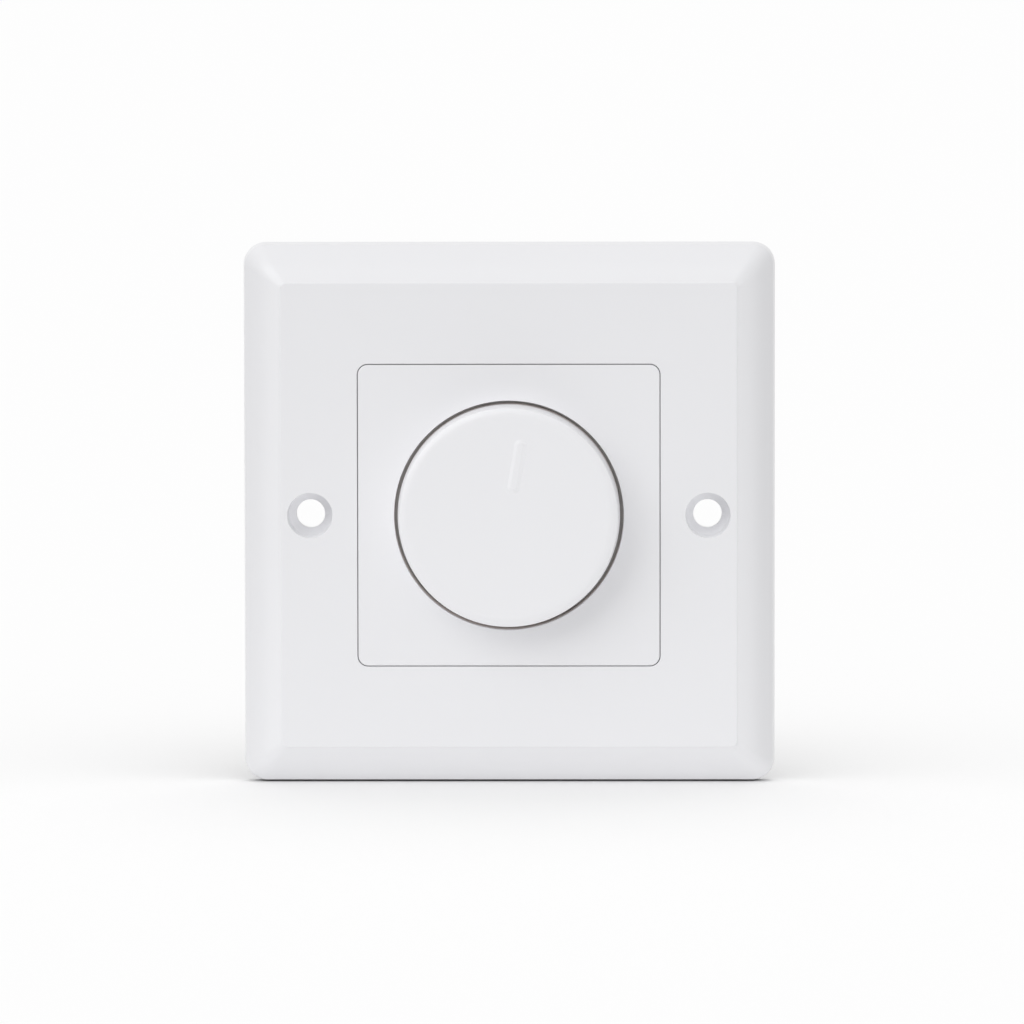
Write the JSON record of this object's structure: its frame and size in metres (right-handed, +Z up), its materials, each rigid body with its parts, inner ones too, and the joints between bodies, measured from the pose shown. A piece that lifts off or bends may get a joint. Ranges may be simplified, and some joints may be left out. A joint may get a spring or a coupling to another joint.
{
  "type": "fan speed regulator",
  "caption": "Rotary fan speed regulator for a flush wall box: a bevelled square face plate, a centre insert and a round knob with a pointer, with its control module behind.",
  "frame": {"origin": "on the wall surface, midway between the two fixing holes and on the knob's axis", "axes": "+X to the right seen from the front, +Y into the wall, +Z up"},
  "size_m": [0.0808, 0.0414, 0.0822],
  "materials": {
    "front_white": "smooth moulded plastic, satin gloss",
    "insert_white": "smooth moulded plastic, satin gloss",
    "knob_white": "smooth moulded plastic, satin gloss",
    "housing_black": "fine spark-eroded moulding texture",
    "terminal_grey": "matt moulded plastic",
    "heat_sink": "brushed sheet",
    "plated_steel": "bright zinc plate",
    "tinned_contacts": "tinned",
    "brass": "turned and pressed, plain",
    "shaft_nylon": "natural moulded plastic",
    "phenolic_brown": "laminated phenolic sheet",
    "switch_brown": "moulded phenolic",
    "board_tan": "paper phenolic laminate",
    "epoxy_black": "moulded epoxy",
    "iron_powder": "painted iron powder ring",
    "copper_wire": "enamelled wire",
    "film_yellow": "moulded box",
    "film_red": "moulded box",
    "resistor_tan": "lacquered",
    "diac_blue": "lacquered",
    "fuse_glass": "clear",
    "fuse_caps": "nickel plate",
    "trimmer_blue": "moulded plastic",
    "trimmer_white": "moulded plastic"
  },
  "bodies": {
    "regulator": {"face_plate": "front_white", "centre_insert": "insert_white", "rear_housing": "housing_black", "terminal_block": "terminal_grey", "heat_sink_plate": "heat_sink", "potentiometer_washer": "plated_steel", "potentiometer_case": "plated_steel", "triac_screw": "plated_steel", "terminal_screws": "plated_steel", "housing_screws": "plated_steel", "board_screws": "plated_steel", "potentiometer_terminals": "tinned_contacts", "switch_terminals": "tinned_contacts", "fuse_clips": "tinned_contacts", "potentiometer_nut": "brass", "potentiometer_bushing": "brass", "terminal_cages": "brass", "resistance_track": "phenolic_brown", "switch_case": "switch_brown", "circuit_board": "board_tan", "triac": "epoxy_black", "choke_core": "iron_powder", "choke_winding": "copper_wire", "suppression_capacitor": "film_yellow", "timing_capacitor": "film_red", "resistors": "resistor_tan", "diac": "diac_blue", "fuse_tube": "fuse_glass", "fuse_caps": "fuse_caps", "trimmer_base": "trimmer_blue"},
    "knob_and_shaft": {"knob": "knob_white", "knob_spring_ring": "plated_steel", "potentiometer_shaft": "shaft_nylon", "potentiometer_wiper": "brass"},
    "trimmer": {"trimmer_rotor": "trimmer_white"}
  },
  "joints": [
    {"name": "knob_turn", "type": "hinge", "parent": "regulator", "child": "knob_and_shaft", "pos_m": [0, 0, 0], "axis": [0, 1, 0], "range_deg": [-159.5, 140.5]},
    {"name": "lowest_speed_trim", "type": "hinge", "parent": "regulator", "child": "trimmer", "pos_m": [0.0105, 0.0112, -0.0175], "axis": [0, 1, 0], "range_deg": [-130, 130]}
  ]
}
